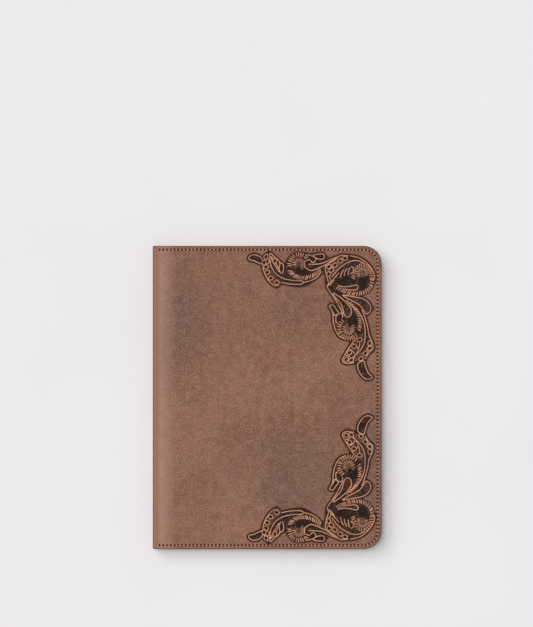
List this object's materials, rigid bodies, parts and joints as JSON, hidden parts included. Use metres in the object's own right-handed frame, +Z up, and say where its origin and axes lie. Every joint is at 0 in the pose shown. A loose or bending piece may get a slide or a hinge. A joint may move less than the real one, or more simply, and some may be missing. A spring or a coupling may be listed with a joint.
{
  "type": "leather notebook cover",
  "caption": "Slip-on leather notebook cover with a tooled scroll front, edge stitching, inner sleeves and card pockets, holding a bound notebook.",
  "frame": {"origin": "middle of the closed cover's footprint, on the surface that its back lies on", "axes": "+X from the spine to the fore-edge, +Y to the head of the book, +Z up out of the front cover"},
  "size_m": [0.1988, 0.2634, 0.017],
  "materials": {
    "cover_leather": "matt pull-up leather, red-brown, tooled and antiqued at two corners",
    "lining_leather": "suede-like natural tan",
    "sleeve_leather": "matt brown",
    "seam_thread": "waxed tan thread",
    "notebook_board": "dark grained paper over board",
    "spine_tape": "black book cloth",
    "paper": "uncoated ruled paper"
  },
  "bodies": {
    "back_cover": {"back_leather": "cover_leather", "back_lining": "lining_leather", "back_sleeve": "sleeve_leather", "back_outer_thread": "seam_thread", "back_inner_thread": "seam_thread"},
    "spine": {"spine_leather": "cover_leather", "spine_lining": "lining_leather", "spine_outer_thread_head": "seam_thread", "spine_outer_thread_tail": "seam_thread", "spine_inner_thread_head": "seam_thread", "spine_inner_thread_tail": "seam_thread"},
    "front_cover": {"front_leather": "cover_leather", "front_lining": "lining_leather", "front_sleeve": "sleeve_leather", "front_outer_thread": "seam_thread", "front_inner_thread": "seam_thread", "card_pocket_upper": "sleeve_leather", "card_pocket_lower": "sleeve_leather", "card_pocket_upper_thread": "seam_thread", "card_pocket_lower_thread": "seam_thread"},
    "notebook_back": {"notebook_back_board": "notebook_board", "page_block": "paper"},
    "notebook_spine": {"notebook_spine_tape": "spine_tape"},
    "notebook_front": {"notebook_front_board": "notebook_board"}
  },
  "joints": [
    {"name": "spine_fold", "type": "hinge", "parent": "back_cover", "child": "spine", "pos_m": [-0.0978, 0, 0.00165], "axis": [0, -1, 0], "range_deg": [0, 90]},
    {"name": "cover_fold", "type": "hinge", "parent": "spine", "child": "front_cover", "pos_m": [-0.0978, 0, 0.01535], "axis": [0, -1, 0], "range_deg": [0, 90]},
    {"name": "notebook_back_slip", "type": "slide", "parent": "back_cover", "child": "notebook_back", "axis": [-1, 0, 0], "range_m": [0, 0.0038]},
    {"name": "notebook_spine_fold", "type": "hinge", "parent": "notebook_back", "child": "notebook_spine", "pos_m": [-0.09515, 0, 0.0031], "axis": [0, -1, 0], "range_deg": [0, 90]},
    {"name": "notebook_front_slip", "type": "slide", "parent": "front_cover", "child": "notebook_front", "axis": [-1, 0, 0], "range_m": [0, 0.0038]}
  ],
  "couplings": [
    {"joint": "cover_fold", "follows": "spine_fold", "ratio": 1},
    {"joint": "notebook_spine_fold", "follows": "spine_fold", "ratio": 1},
    {"joint": "notebook_back_slip", "follows": "spine_fold", "m_per_rad": 0.002355},
    {"joint": "notebook_front_slip", "follows": "spine_fold", "m_per_rad": 0.002355}
  ]
}
